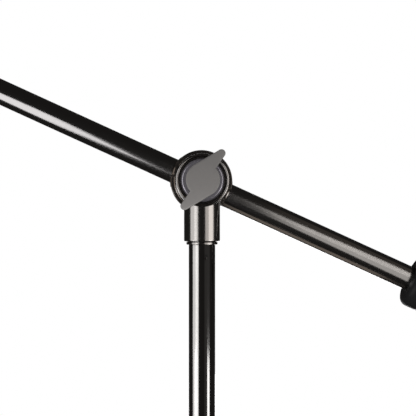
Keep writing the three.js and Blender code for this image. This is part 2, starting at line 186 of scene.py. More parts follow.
CHROME_IOR = 2.2
DRAWN_ALONG = 0.004  # scale of the drawing lines along a tube, and across it
DRAWN_ACROSS = 1.6
TUBE_DARK = (0.235, 0.23, 0.225)
TUBE_LIGHT = (0.285, 0.277, 0.27)
CAST_BODY = (0.275, 0.262, 0.252)
CAST_EDGE = (0.42, 0.4, 0.38)


def even(scale):
    return (scale, scale, scale)


def drawn_chrome(name, turn=(0, 0, 0), axis="z", gloss=(0.09, 0.15)):
    """Black chrome on drawn tube: faint lines along it and clouds of slightly different colour and gloss."""
    shader = Shader(name, Metallic=1.0, IOR=CHROME_IOR)
    lengthwise = {
        "x": (DRAWN_ALONG, DRAWN_ACROSS, DRAWN_ACROSS),
        "z": (DRAWN_ACROSS, DRAWN_ACROSS, DRAWN_ALONG),
    }[axis]
    lines = shader.noise(shader.place(lengthwise, turn), 2)
    clouds = shader.noise(shader.place(even(0.05), turn), 4)
    marks = shader.noise(shader.place(even(0.9), turn), 5, 0.7)
    shader.drive("Base Color", shader.blend(clouds, TUBE_DARK, TUBE_LIGHT))
    shader.drive("Roughness", shader.spread(marks, 0.45, 0.8, *gloss))
    shader.bump(lines, 0.012, 0.5)
    return shader.material


def cast_chrome(name, gloss=(0.13, 0.21)):
    """Black chrome on polished castings: a slight ripple under the polish and lighter worn edges."""
    shader = Shader(name, Metallic=1.0, IOR=CHROME_IOR)
    ripple = shader.noise(shader.place(even(0.12)), 2)
    marks = shader.noise(shader.place(even(0.6)), 5, 0.7)
    worn = shader.edges(0.53, 0.6)
    shader.drive("Base Color", shader.blend(worn, CAST_BODY, CAST_EDGE))
    shader.drive("Roughness", shader.spread(marks, 0.4, 0.8, *gloss))
    shader.bump(ripple, 0.03, 0.3)
    return shader.material


def moulding(name, dark, light, roughness, grain=2.5, depth=0.03):
    """A moulded surface with a fine texture, a cloudy colour and slightly uneven gloss."""
    shader = Shader(name)
    clouds = shader.noise(shader.place(even(0.07)), 4)
    texture = shader.noise(shader.place(even(grain)), 3, 0.6)
    shader.drive("Base Color", shader.blend(clouds, dark, light))
    shader.drive("Roughness", shader.spread(texture, 0.3, 0.7, roughness - 0.08, roughness + 0.08))
    shader.bump(texture, depth, 0.6)
    return shader.material


def bare_metal(name, dark, light, smooth, rough, metallic=1.0):
    """Plated or turned metal with fine marks."""
    shader = Shader(name, Metallic=metallic)
    clouds = shader.noise(shader.place(even(0.2)), 4)
    marks = shader.noise(shader.place(even(1.5)), 4, 0.7)
    shader.drive("Base Color", shader.blend(clouds, dark, light))
    shader.drive("Roughness", shader.spread(marks, 0.35, 0.7, smooth, rough))
    shader.bump(marks, 0.01, 0.4)
    return shader.material


UPRIGHT_CHROME = drawn_chrome("upright_chrome")
BOOM_CHROME = drawn_chrome("boom_chrome", (0, -TILT, 0), "x", (0.16, 0.21))
LEG_CHROME = drawn_chrome("leg_chrome")
CASTING = cast_chrome("casting_chrome")
HOUSING = cast_chrome("housing_chrome", (0.2, 0.27))
KNOB = moulding("knob_grey", (0.108, 0.103, 0.0995), (0.125, 0.119, 0.115), 0.42)
ENAMEL = moulding("weight_enamel", (0.012, 0.0125, 0.0135), (0.019, 0.0195, 0.021), 0.5, 0.7, 0.08)
RUBBER = moulding("rubber", (0.011, 0.011, 0.011), (0.024, 0.023, 0.022), 0.75, 1.6, 0.06)
NYLON = moulding("nylon", (0.014, 0.014, 0.015), (0.022, 0.022, 0.023), 0.5)
FIBRE = moulding("friction_fibre", (0.09, 0.055, 0.035), (0.16, 0.1, 0.06), 0.85, 1.2, 0.1)
STEEL = bare_metal("plated_steel", (0.5, 0.5, 0.51), (0.6, 0.6, 0.6), 0.2, 0.34)
WASHER = bare_metal("washer_plating", (0.34, 0.325, 0.37), (0.4, 0.385, 0.43), 0.2, 0.28, 0.82)
BRASS = bare_metal("brass", (0.55, 0.4, 0.17), (0.66, 0.5, 0.23), 0.25, 0.4)

SLOTS = {
    "black_chrome_tube": LEG_CHROME,
    "black_chrome_casting": CASTING,
    "grey_knob": KNOB,
    "black_weight": ENAMEL,
    "rubber": RUBBER,
    "steel": STEEL,
    "brass": BRASS,
    "nylon": NYLON,
    "fibre": FIBRE,
}

# ---------------------------------------------------------------- mesh building

SHARP = 32 * DEG  # faces that meet at more than this keep a sharp edge
MOST_OF_SIDE = 0.49  # a fillet takes up at most this much of the side beside it
ON_AXIS = 1e-6
THREAD_PITCH = 1.5
THREAD_DEPTH = 0.55
THREAD_ROOT = 0.28  # from the middle of a thread to its root, in pitches
THREAD_CREST = 0.06  # from the middle of a thread to the end of its crest
BEAD_STEPS = 72
BEAD_SIDES = 14


def softened(points, steps=5):
    """A profile of (radius, height, fillet) corners, with each corner replaced by an arc of that fillet."""
    result = []
    count = len(points)
    for i, (r, h, fillet) in enumerate(points):
        here = Vector((r, h))
        before = Vector(points[i - 1][:2])
        after = Vector(points[(i + 1) % count][:2])
        if not fillet:
            result.append((r, h))
            continue
        to_before = (before - here).normalized()
        to_after = (after - here).normalized()
        half = to_before.angle(to_after) / 2
        shorter = min((before - here).length, (after - here).length)
        reach = min(fillet / math.tan(half), shorter * MOST_OF_SIDE)
        radius = reach * math.tan(half)
        centre = here + (to_before + to_after).normalized() * (radius / math.sin(half))
        start = here + to_before * reach - centre
        end = here + to_after * reach - centre
        turn = start.angle_signed(end)
        for step in range(steps + 1):
            spoke = start.copy()
            spoke.rotate(Matrix.Rotation(-turn * step / steps, 2))
            result.append(tuple(centre + spoke))
    return result


def dense(profile, most):
    """The profile with no step longer than most millimetres."""
    result = []
    for i, here in enumerate(profile):
        there = profile[(i + 1) % len(profile)]
        steps = max(1, math.ceil(math.dist(here, there) / most))
        result += [tuple(a + (b - a) * k / steps for a, b in zip(here, there)) for k in range(steps)]
    return result


def straight_sleeve(inner, outer, low, high, fillet=0.5):
    """The profile of a plain tube or ring, with its outer edges rounded."""
    return [(inner, low, 0), (outer, low, fillet), (outer, high, fillet), (inner, high, 0)]


def screw_profile(radius, low, high):
    """The profile of a shank, with its thread as close rings."""
    root = radius - THREAD_DEPTH
    profile = [(0, low), (root, low)]
    for i in range(int((high - low) / THREAD_PITCH)):
        crest = low + (i + 0.5) * THREAD_PITCH
        profile += [
            (root, crest - THREAD_PITCH * THREAD_ROOT),
            (radius, crest - THREAD_PITCH * THREAD_CREST),
            (radius, crest + THREAD_PITCH * THREAD_CREST),
            (root, crest + THREAD_PITCH * THREAD_ROOT),
        ]
    return profile + [(root, high), (0, high)]


def axes_for(axis):
    """A right-handed pair square to the axis."""
    across = axis.cross(FRONT if abs(axis.dot(FRONT)) < 0.9 else UP).normalized()
    return across, axis.cross(across).normalized()


def circle(mesh, centre, across, other, radius, count):
    """A ring of count points round centre, in the plane of across and other."""
    ring = []
    for i in range(count):
        a = 2 * math.pi * i / count
        ring.append(mesh.verts.new(centre + (across * math.cos(a) + other * math.sin(a)) * (radius * MM)))
    return ring


def stitch(mesh, first, second):
    """Faces between two rings, either of which may be a single point."""
    count = max(len(first), len(second))
    if count == 1:
        return
    for i in range(count):
        j = (i + 1) % count
        corners = [
            first[i % len(first)],
            first[j % len(first)],
            second[j % len(second)],
            second[i % len(second)],
        ]
        mesh.faces.new(list(dict.fromkeys(corners)))


def turned(profile, origin, axis, round_by=ROUND):
    """A bmesh turned round the axis from a closed profile of (radius, height)."""
    mesh = bmesh.new()
    across, other = axes_for(axis)
    rings = []
    for r, h in profile:
        centre = origin + axis * (h * MM)
        if r < ON_AXIS:
            rings.append([mesh.verts.new(centre)])
        else:
            rings.append(circle(mesh, centre, across, other, r, round_by))
    for first, second in zip(rings, rings[1:] + rings[:1]):
        stitch(mesh, first, second)
    bmesh.ops.recalc_face_normals(mesh, faces=mesh.faces)
    return mesh


def pipe(points, outer, inner, sides):
    """A pipe along points that lie close enough together to bend smoothly."""
    mesh = bmesh.new()
    shells = []
    for radius in (outer, inner):
        rings = []
        across = None
        for i, point in enumerate(points):
            forward = (points[min(i + 1, len(points) - 1)] - points[max(i - 1, 0)]).normalized()
            if across is None:
                across = axes_for(forward)[0]
            else:
                across = (across - forward * across.dot(forward)).normalized()
            rings.append(circle(mesh, point, across, forward.cross(across), radius, sides))
        for first, second in zip(rings, rings[1:]):
            stitch(mesh, first, second)
        shells.append(rings)
    for end in (0, -1):
        stitch(mesh, shells[0][end], shells[1][end])
    bmesh.ops.recalc_face_normals(mesh, faces=mesh.faces)
    return mesh


def loop(points, radius, sides):
    """A closed round bead along a loop of points."""
    mesh = bmesh.new()
    count = len(points)
    rings = []
    centre = sum(points, Vector()) / count
    for i, point in enumerate(points):
        forward = (points[(i + 1) % count] - points[i - 1]).normalized()
        across = (point - centre).cross(forward).normalized()
        rings.append(circle(mesh, point, across, forward.cross(across), radius, sides))
    for first, second in zip(rings, rings[1:] + rings[:1]):
        stitch(mesh, first, second)
    bmesh.ops.recalc_face_normals(mesh, faces=mesh.faces)
    return mesh


def seam_bead(radius, boss, size, centre, out, up):
    """A fillet bead where a round boss leaves a round body. The boss points along out, the body along up."""
    side = up.cross(out)
    points = []
    for i in range(BEAD_STEPS):
        a = 2 * math.pi * i / BEAD_STEPS
        across = boss * math.sin(a)
        depth = math.sqrt(radius * radius - across * across)
        points.append(centre + (out * depth + side * across + up * (boss * math.cos(a))) * MM)
    return loop(points, size, BEAD_SIDES)


def merged(*meshes):
    """One bmesh holding all of these closed shells."""
    whole = meshes[0]
    for mesh in meshes[1:]:
        data = bpy.data.meshes.new("part")
        mesh.to_mesh(data)
        mesh.free()
        whole.from_mesh(data)
        bpy.data.meshes.remove(data)
    return whole


def boolean(base_mesh, tool, operation):
    """The exact union, difference or intersection of two bmeshes."""
    operands = []
    for mesh in (base_mesh, tool):
        data = bpy.data.meshes.new("operand")
        mesh.to_mesh(data)
        mesh.free()
        operand = bpy.data.objects.new("operand", data)
        bpy.context.scene.collection.objects.link(operand)
        operands.append(operand)
    modifier = operands[0].modifiers.new("join", "BOOLEAN")
    modifier.operation = operation
    modifier.solver = "EXACT"
    modifier.object = operands[1]
    result = bmesh.new()
    result.from_object(operands[0], bpy.context.evaluated_depsgraph_get())
    for operand in operands:
        data = operand.data
        bpy.data.objects.remove(operand)
        bpy.data.meshes.remove(data)
    return result


def piece(name, mesh, material, body):
    """Makes the object, shades it, sets its material and fixes it to its CAD body."""
    data = bpy.data.meshes.new(name)
    mesh.to_mesh(data)
    mesh.free()
    data.shade_smooth()
    data.set_sharp_from_angle(angle=SHARP)
    made = bpy.data.objects.new(name, data)
    bpy.context.scene.collection.objects.link(made)
    data.materials.append(material)
    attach(made, body)
    return made


def fine(node, mesh, material, body):
    """The fine piece that stands for a CAD node."""
    made = piece(node + "_fine", mesh, material, body)
    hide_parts(node)
    return made


# ---------------------------------------------------------------- base

LEG_RADIUS = 12.5
LEG_INNER = 10.5
LEG_BEND = 72
LEG_SIDES = 64
LEVEL_STEPS = 12
BEND_STEPS = 32
DOWN_STEPS = 4
BOSS_RADIUS = 15.4
BOSS_START = 18
BOSS_END = 58
BAND_START = 36  # a raised band round the boss
BAND_END = 39
POCKET_START = 31
RING_RADIUS = 25
RING_HALF_HEIGHT = 22
COLUMN_RADIUS = 17.5
COLUMN_WALL = 2
PIN_AT = 46
PIN_RECESS = 0.9
BOOT_RADIUS = 17
BOOT_GROOVES = 5
BOOT_BORE = 12.8
GRUB_RADIUS = 3
GRUB_SOCKET = 1.6


def upright_tube(node, body, wall):
    low, high, radius = measured(node, MAST, UP)
    sleeve = straight_sleeve(radius - wall, radius, low, high)
    fine(node, turned(softened(sleeve), MAST, UP), UPRIGHT_CHROME, body)


def leg_reach(out):
    """Distance from the mast's axis to the middle of the foot that lies along out."""
    return max((middle(f"leg_{i}_foot") - MAST).dot(out) for i in (1, 2, 3))


def leg_points(out, height, low):
    """The leg's centre line: level, round the bend, then down to the foot."""
    reach = leg_reach(out)
    start = MAST + out * (POCKET_START * MM) + UP * height
    corner = MAST + out * (reach - LEG_BEND * MM) + UP * (height - LEG_BEND * MM)
    points = [start + (corner + UP * LEG_BEND * MM - start) * (i / LEVEL_STEPS) for i in range(LEVEL_STEPS)]
    for i in range(BEND_STEPS + 1):
        a = math.pi / 2 * i / BEND_STEPS
        points.append(corner + (out * math.sin(a) + UP * math.cos(a)) * (LEG_BEND * MM))
    bend_end = points[-1]
    end = MAST + out * reach + UP * low
    return points + [bend_end + (end - bend_end) * (i / DOWN_STEPS) for i in range(1, DOWN_STEPS + 1)]


def leg_ring(out, height):
    """The ring round the column and the boss that holds the leg's tube."""
    origin = MAST + UP * height
    ring = [
        (COLUMN_RADIUS + 0.4, -RING_HALF_HEIGHT, 0.6),
        (RING_RADIUS, -RING_HALF_HEIGHT, 2.6),
        (RING_RADIUS, RING_HALF_HEIGHT, 2.6),
        (COLUMN_RADIUS + 0.4, RING_HALF_HEIGHT, 0.6),
    ]
    boss = [
        (LEG_RADIUS + 0.3, BOSS_START, 0),
        (BOSS_RADIUS, BOSS_START, 0),
        (BOSS_RADIUS, BOSS_END, 1.4),
        (LEG_RADIUS + 0.3, BOSS_END, 0.5),
    ]
    band = [
        (BOSS_RADIUS - 1, BAND_START, 0),
        (BOSS_RADIUS + 0.9, BAND_START, 0.8),
        (BOSS_RADIUS + 0.9, BAND_END, 0.8),
        (BOSS_RADIUS - 1, BAND_END, 0),
    ]
    return merged(
        turned(softened(ring), origin, UP),
        turned(softened(boss), origin, out),
        turned(softened(band), origin, out),
        seam_bead(RING_RADIUS, BOSS_RADIUS, 2.2, origin, out, UP),
    )


def foot(centre):
    """A rubber boot with grip grooves round it and a tread ring underneath."""
    profile = [
        (0, 0, 0),
        (7, 0, 0.4),
        (7, 1.2, 0.3),
        (10.5, 1.2, 0.3),
        (10.5, 0, 0.4),
        (15.2, 0, 1),
        (BOOT_RADIUS, 3, 1),
    ]
    for i in range(BOOT_GROOVES):
        height = 8 + 4 * i
        profile += [
            (BOOT_RADIUS - 0.15, height, 0.3),
            (BOOT_RADIUS - 1.1, height + 0.5, 0.2),
            (BOOT_RADIUS - 1.1, height + 1.3, 0.2),
            (BOOT_RADIUS - 0.2, height + 1.8, 0.3),
        ]
    profile += [
        (16, 31.5, 1),
        (14.8, 34, 0.8),
        (BOOT_BORE, 34, 0.5),
        (BOOT_BORE, 8, 0),
        (0, 8, 0),
    ]
    return turned(softened(profile, 3), Vector((centre.x, centre.y, 0)), UP)


def recessed_pin(low, high, radius, rounding):
    """The profile of a pin with a small dimple in its outer end."""
    return [
        (0, low, 0),
        (radius, low, 0),
        (radius, high, rounding),
        (PIN_RECESS, high, 0.2),
        (PIN_RECESS, high - 1, 0),
        (0, high - 1, 0),
    ]


def make_leg(number, body):
    leg = f"leg_{number}"
    out = ((middle(f"{leg}_foot") - MAST) * Vector((1, 1, 0))).normalized()
    height = middle(f"{leg}_ring").z
    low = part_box(f"{leg}_tube")[0].z
    tube = pipe(leg_points(out, height, low), LEG_RADIUS, LEG_INNER, LEG_SIDES)
    fine(f"{leg}_tube", tube, LEG_CHROME, body)
    fine(f"{leg}_ring", leg_ring(out, height), CASTING, body)
    fine(f"{leg}_foot", foot(middle(f"{leg}_foot")), RUBBER, body)
    pin_axis = MAST + out * (PIN_AT * MM)
    pin = recessed_pin(*measured(f"{leg}_pin", pin_axis, UP), 0.7)
    fine(f"{leg}_pin", turned(softened(pin), pin_axis, UP, PIN_ROUND), STEEL, body)


def base_cap():
    """The cup under the column, with a hollow underneath and a groove round its side."""
    low, high, _ = measured("base_cap", MAST, UP)
    profile = [
        (0, low, 0),
        (8, low, 0.3),
        (8, low + 1, 0.3),
        (RING_RADIUS - 7, low + 1, 0.3),
        (RING_RADIUS - 7, low, 0.6),
        (RING_RADIUS - 5, low, 2),
        (RING_RADIUS, low + 6, 3),
        (RING_RADIUS, high - 7, 0.4),
        (RING_RADIUS - 0.9, high - 6.4, 0.3),
        (RING_RADIUS - 0.9, high - 5.4, 0.3),
        (RING_RADIUS, high - 4.8, 0.4),
        (RING_RADIUS, high, 1),
        (RING_RADIUS - 2.6, high, 0.4),
        (RING_RADIUS - 2.6, high - 18, 0),
        (COLUMN_RADIUS + 0.3, high - 18, 0),
        (COLUMN_RADIUS + 0.3, low + 6.5, 0),
        (0, low + 6.5, 0),
    ]
    fine("base_cap", turned(softened(profile), MAST, UP), CASTING, "base")


def leg_stop_collar():
    """The collar under the leg rings, and the grub screw in it."""
    low, high, outer = measured("leg_stop_collar", MAST, UP)
    stop = straight_sleeve(COLUMN_RADIUS + 0.3, outer, low, high, 1.6)
    fine("leg_stop_collar", turned(softened(stop), MAST, UP), CASTING, "base")
    grub = [
        (0, outer - 3, 0),
        (GRUB_RADIUS, outer - 3, 0),
        (GRUB_RADIUS, outer + 0.5, 0.5),
        (GRUB_SOCKET, outer + 0.5, 0.2),
        (GRUB_SOCKET, outer - 1.2, 0),
        (0, outer - 1.2, 0),
    ]
    screw_at = MAST + UP * ((low + high) / 2 * MM)
    piece("stop_collar_grub_screw", turned(softened(grub), screw_at, FRONT, PIN_ROUND), STEEL, "base")


def base():
    upright_tube("column_tube", "base", COLUMN_WALL)
    base_cap()
    leg_stop_collar()
    make_leg(1, "base")
    make_leg(2, "leg_2")
    make_leg(3, "leg_3")


# ---------------------------------------------------------------- winged knobs

HUB_STEPS = 40
TIP_STEPS = 14
EDGE_STEPS = 6
LOCK_SHAPE = (10, 21, 2.9, 6.5)  # hub, reach, tip, thickness
LOCK_EDGE = 1.4
LOCK_HUB = 8
LOCK_BORE = 4.3


def wing_outline(hub, reach, tip):
    """A round hub with two wings, each with a straight flank on one side and a corner on the other."""
    tangent = math.pi / 2 - math.asin((hub - tip) / reach)
    corner = -math.asin(tip / hub)
    points = []
    for half in (0, math.pi):
        centre = Vector((reach * math.cos(half), 0))
        for i in range(TIP_STEPS + 1):
            a = half - math.pi / 2 + (tangent + math.pi / 2) * i / TIP_STEPS
            points.append(centre + Vector((math.cos(a), math.sin(a))) * tip)
        for i in range(HUB_STEPS + 1):
            a = half + tangent + (math.pi + corner - tangent) * i / HUB_STEPS
            points.append(Vector((math.cos(a), math.sin(a))) * hub)
    return points


def rounded_layers(thickness, edge):
    """(inset, height) from the back of a plate to its front at 0, round its two edges."""
    levels = []
    for step in range(EDGE_STEPS + 1):
        a = step / EDGE_STEPS * math.pi / 2
        levels.append((edge * (1 - math.sin(a)), edge * (1 - math.cos(a))))
    back = [(inset, -thickness + depth) for inset, depth in levels]
    front = [(inset, -depth) for inset, depth in reversed(levels)]
    return back + front


def winged_plate(shape, origin, out, up, front, angle, edge):
    """A winged plate whose flat face looks along out. Its edges are rounded, front and back."""
    mesh = bmesh.new()
    hub, reach, tip, thickness = shape
    side = up.cross(out)
    c = math.cos(angle)
    s = math.sin(angle)
    rings = []
    for inset, height in rounded_layers(thickness, edge):
        ring = []
        for point in wing_outline(hub - inset, reach, tip - inset):
            x = point.x * c - point.y * s
            y = point.x * s + point.y * c
            ring.append(mesh.verts.new(origin + (side * x + up * y + out * (front + height)) * MM))
        rings.append(ring)
    for first, second in zip(rings, rings[1:]):
        stitch(mesh, first, second)
    for ring in (rings[0], rings[-1]):
        mesh.faces.new(ring)
    bmesh.ops.recalc_face_normals(mesh, faces=mesh.faces)
    return mesh


def lock_parts(prefix, origin, out, up, angle):
    """The knob and screw of a clamp, from their CAD extents along the screw. Their body has its name."""
    low, high, _ = measured(f"{prefix}_knob", origin, out)
    plate = winged_plate(LOCK_SHAPE, origin, out, up, high, angle, LOCK_EDGE)
    hub = [
        (LOCK_BORE, low, 0),
        (LOCK_HUB - 1, low, 0.8),
        (LOCK_HUB, high - 5, 0),
        (LOCK_BORE, high - 5, 0),
    ]
    badge = [
        (0, high - 3, 0),
        (6, high - 3, 0),
        (6, high - 0.02, 0.5),
        (5, high - 0.6, 0.4),
        (0, high - 0.4, 0),
    ]
    rounds = [turned(softened(profile), origin, out, BOSS_ROUND) for profile in (hub, badge)]
    fine(f"{prefix}_knob", merged(plate, *rounds), KNOB, prefix)
    low, high, radius = measured(f"{prefix}_screw", origin, out)
    screw = turned(screw_profile(radius, low, high), origin, out, SCREW_ROUND)
    fine(f"{prefix}_screw", screw, STEEL, prefix)


# ---------------------------------------------------------------- mast

RISER_1_RADIUS = 15
RISER_1_WALL = 1.8
RISER_2_RADIUS = 12.5
RISER_2_WALL = 1.5
TUBE_GAP = 0.3
COLLAR_BOSS = 9.5
COLLAR_BOSS_DROP = 19  # from the collar's top to the axis of its clamp screw
COLLAR_BORE = 4.4
COLLAR_SEAT = 28  # height of the step inside the collar
COLUMN_LOCK_ANGLE = 25 * DEG
RISER_LOCK_ANGLE = -20 * DEG
SET_PIN_RADIUS = 1.7
SET_PIN_HOLE = 2
PIN_REGION = 4  # the tube has a ring of points this far above and below the pin's axis


def lock_collar(node, body, tube, inner):
    """A lock collar: a turned casting with a groove, a rounded shoulder and a boss for the clamp screw."""
    low, high, _ = measured(node, MAST, UP)
    outer = half_width(node)
    _, boss_out, _ = measured(node, MAST, FRONT)
    profile = [
        (tube + TUBE_GAP, low, 0),
        (outer - 1.5, low, 0.6),
        (outer, low + 2, 0.8),
        (outer, low + 14, 0.4),
        (outer - 0.8, low + 14.6, 0.3),
        (outer - 0.8, low + 16, 0.3),
        (outer, low + 16.6, 0.4),
        (outer, high - 6, 2),
        (outer - 3.5, high, 1.5),
        (inner + TUBE_GAP, high, 0.5),
        (inner + TUBE_GAP, low + COLLAR_SEAT, 0),
        (tube + TUBE_GAP, low + COLLAR_SEAT, 0),
    ]
    boss = [
        (COLLAR_BORE, outer - 6, 0),
        (COLLAR_BOSS, outer - 6, 0),
        (COLLAR_BOSS, boss_out, 1.2),
        (COLLAR_BORE, boss_out, 0.5),
    ]
    centre = MAST + UP * ((high - COLLAR_BOSS_DROP) * MM)
    casting = merged(
        turned(softened(profile), MAST, UP),
        turned(softened(boss), centre, FRONT, BOSS_ROUND),
        seam_bead(outer, COLLAR_BOSS, 1.8, centre, FRONT, UP),
    )
    fine(node, casting, CASTING, body)


def top_riser():
    """The top tube, with the hole for its set pin, and the pin just below the tube's surface."""
    at = Vector((MAST.x, 0, middle("mast_set_pin").z))
    out = (middle("mast_set_pin") - at).normalized()
    low, high, radius = measured("riser_2_tube", MAST, UP)
    inner = radius - RISER_2_WALL
    pin_height = at.z / MM
    sleeve = [
        (inner, low, 0),
        (radius, low, 0.5),
        (radius, pin_height - PIN_REGION, 0),
        (radius, pin_height + PIN_REGION, 0),
        (radius, high, 0.5),
        (inner, high, 0),
    ]
    hole = turned([(0, 8), (SET_PIN_HOLE, 8), (SET_PIN_HOLE, 16), (0, 16)], at, out, PIN_ROUND)
    tube = boolean(turned(softened(sleeve), MAST, UP), hole, "DIFFERENCE")
    fine("riser_2_tube", tube, UPRIGHT_CHROME, "riser_2")
    low, high, _ = measured("mast_set_pin", at, out)
    pin = [
        (0, low, 0),
        (SET_PIN_RADIUS, low, 0),
        (SET_PIN_RADIUS, high, 0.4),
        (0.8, high, 0.2),
        (0.8, high - 0.9, 0),
        (0, high - 0.9, 0),
    ]
    fine("mast_set_pin", turned(softened(pin), at, out, PIN_ROUND), CASTING, "riser_2")


def mast():
    lock_collar("column_collar", "base", COLUMN_RADIUS, RISER_1_RADIUS)
    upright_tube("riser_1_tube", "riser_1", RISER_1_WALL)
    lock_collar("riser_1_collar", "riser_1", RISER_1_RADIUS, RISER_2_RADIUS)
    for prefix, angle in (("column_lock", COLUMN_LOCK_ANGLE), ("riser_lock", RISER_LOCK_ANGLE)):
        lock_parts(prefix, Vector((MAST.x, 0, middle(f"{prefix}_screw").z)), FRONT, UP, angle)
    top_riser()


# ---------------------------------------------------------------- clutch

# Heights along FRONT are from the mast's axis, apart from TRIM_REAR, which is from the pivot.
SOCKET_RADIUS = 17
SOCKET_BORE = 12.8
SOCKET_DEPTH = 24.5
SOCKET_TOP = -12
SOCKET_VENT = 5  # radius of the narrow hole above the mast's end
FACE_RADIUS = 24.9
FACE_FRONT = 19
FACE_REAR = -6
FACE_LIP = FACE_FRONT + 0.9
LIP_FILLET = 1.15
RECESS_RADIUS = 22.5
RECESS_FLOOR = FACE_FRONT - 7
POCKET_REAR = -2
POCKET_FRONT = 40
DRUM_RADIUS = 29.6
DRUM_SHOULDER = -16
DRUM_GAP = 0.7
BARREL_RADIUS = 15.35
BARREL_HALF = 31
BARREL_BORE = 13.6
TRIM_REAR = -30  # the barrel is trimmed to the drum from here to its rounded front
CUT_REACH = 60  # a cutting shape reaches this far, past what it cuts
BOLT_HOLE = 5.4
WASHER_BORE = 5.6
KNOB_SHAPE = (15.8, 29.5, 3.7, 8)  # hub, reach, tip, thickness
KNOB_EDGE = 1.3
KNOB_ANGLE = 55 * DEG
KNOB_HUB = 15.2
KNOB_BORE = 8.3
LINER_BORE = 12.05


def pivot_socket():
    """The round front half of the clutch and the sleeve under it, as one casting."""
    face = turned(softened([
        (BOLT_HOLE, FACE_REAR, 0),
        (FACE_RADIUS, FACE_REAR, 0.4),
        (FACE_RADIUS, FACE_LIP, LIP_FILLET),
        (RECESS_RADIUS, FACE_LIP, LIP_FILLET),
        (RECESS_RADIUS, RECESS_FLOOR, 0.5),
        (BOLT_HOLE, RECESS_FLOOR, 0),
    ]), CLUTCH, FRONT, CLUTCH_ROUND)
    low, _, _ = measured("pivot_socket", CLUTCH, UP)
    socket = turned(dense(softened([
        (SOCKET_BORE, low, 0.5),
        (SOCKET_RADIUS, low, 1.1),
        (SOCKET_RADIUS, SOCKET_TOP, 0),
        (SOCKET_VENT, SOCKET_TOP, 0),
        (SOCKET_VENT, low + SOCKET_DEPTH, 0),
        (SOCKET_BORE, low + SOCKET_DEPTH, 0),
    ]), 4), CLUTCH, UP, CLUTCH_ROUND)
    room = turned([
        (0, -CUT_REACH),
        (0, FACE_REAR),
        (DRUM_RADIUS + DRUM_GAP, FACE_REAR),
        (DRUM_RADIUS + DRUM_GAP, -CUT_REACH),
    ], CLUTCH, FRONT, CLUTCH_ROUND)
    pocket = turned([
        (0, POCKET_REAR),
        (0, POCKET_FRONT),
        (RECESS_RADIUS, POCKET_FRONT),
        (RECESS_RADIUS, POCKET_REAR),
    ], CLUTCH, FRONT, CLUTCH_ROUND)
    socket = boolean(boolean(socket, room, "DIFFERENCE"), pocket, "DIFFERENCE")
    return boolean(face, socket, "UNION")


def clamp_housing():
    """The drum behind, with a stepped front, and the barrel that the boom passes through."""
    shoulder = DRUM_SHOULDER + (CLUTCH - PIVOT).dot(FRONT) / MM
    low, high, _ = measured("clamp_housing", PIVOT, FRONT)
    drum = turned(softened([
        (0, low, 0),
        (DRUM_RADIUS, low, 5),
        (DRUM_RADIUS, shoulder, 0.7),
        (FACE_RADIUS, shoulder, 1.9),
        (FACE_RADIUS, high, 0.5),
        (0, high, 0),
    ], 8), PIVOT, FRONT, CLUTCH_ROUND)
    barrel = turned(dense([
        (0, -BARREL_HALF),
        (BARREL_RADIUS, -BARREL_HALF),
        (BARREL_RADIUS, BARREL_HALF),
        (0, BARREL_HALF),
    ], 3), BOOM, BOOM_AXIS, CLUTCH_ROUND)
    trim = turned(softened([
        (0, TRIM_REAR, 0),
        (DRUM_RADIUS + 0.5, TRIM_REAR, 0),
        (DRUM_RADIUS + 0.5, BARREL_RADIUS + 0.1, 3.5),
        (0, BARREL_RADIUS + 0.1, 0),
    ], 8), PIVOT, FRONT, CLUTCH_ROUND)
    bore = turned([
        (0, -CUT_REACH),
        (BARREL_BORE, -CUT_REACH),
        (BARREL_BORE, CUT_REACH),
        (0, CUT_REACH),
    ], BOOM, BOOM_AXIS, BOSS_ROUND)
    whole = boolean(drum, boolean(barrel, trim, "INTERSECT"), "UNION")
    return boolean(whole, bore, "DIFFERENCE")


def wing_knob():
    """The clutch's knob: a winged plate on a round hub."""
    low, high, _ = measured("wing_knob", CLUTCH, FRONT)
    plate = winged_plate(KNOB_SHAPE, CLUTCH, FRONT, UP, high, KNOB_ANGLE, KNOB_EDGE)
    hub = turned(softened([
        (KNOB_BORE, low, 0),
        (KNOB_HUB, low, 0.8),
        (KNOB_HUB, high - 6, 0),
        (KNOB_BORE, high - 6, 0),
    ]), CLUTCH, FRONT)
    knob = fine("wing_knob", merged(plate, hub), KNOB, "clutch_knob")
    knob.visible_glossy = False  # the polished socket shows the lamps, not the knob


def rear_cap():
    """The nylon cap on the back of the drum, with a shallow ring pressed into it."""
    low, high, outer = measured("clutch_rear_cap", PIVOT, FRONT)
    neck = outer - 2.6
    profile = [
        (0, high, 0),
        (neck, high, 0),
        (neck, low + 2.7, 0),
        (outer, low + 2.7, 0.3),
        (outer - 0.6, low + 0.6, 0.8),
        (14, low + 0.2, 0.6),
        (13, low + 1, 0.5),
        (7, low + 1, 0.5),
        (6, low, 0.5),
        (0, low, 0),
    ]
    fine("clutch_rear_cap", turned(softened(profile), PIVOT, FRONT), NYLON, "boom_clamp")


def plain_washer(node, bore, material):
    """A plain disc or washer on the clutch's axis."""
    low, high, outer = measured(node, CLUTCH, FRONT)
    disc = straight_sleeve(bore, outer, low, high, 0.3)
    fine(node, turned(softened(disc), CLUTCH, FRONT), material, "head")


def thrust_washer():
    """The washer under the knob, with a rounded rim."""
    low, high, outer = measured("thrust_washer", CLUTCH, FRONT)
    profile = [
        (WASHER_BORE, low, 0),
        (outer - 1, low, 0.5),
        (outer, low + 1.2, 0.8),
        (outer, high - 1.6, 1.2),
        (outer - 1.6, high, 0.8),
        (WASHER_BORE, high, 0),
    ]
    fine("thrust_washer", turned(softened(profile), CLUTCH, FRONT), WASHER, "head")


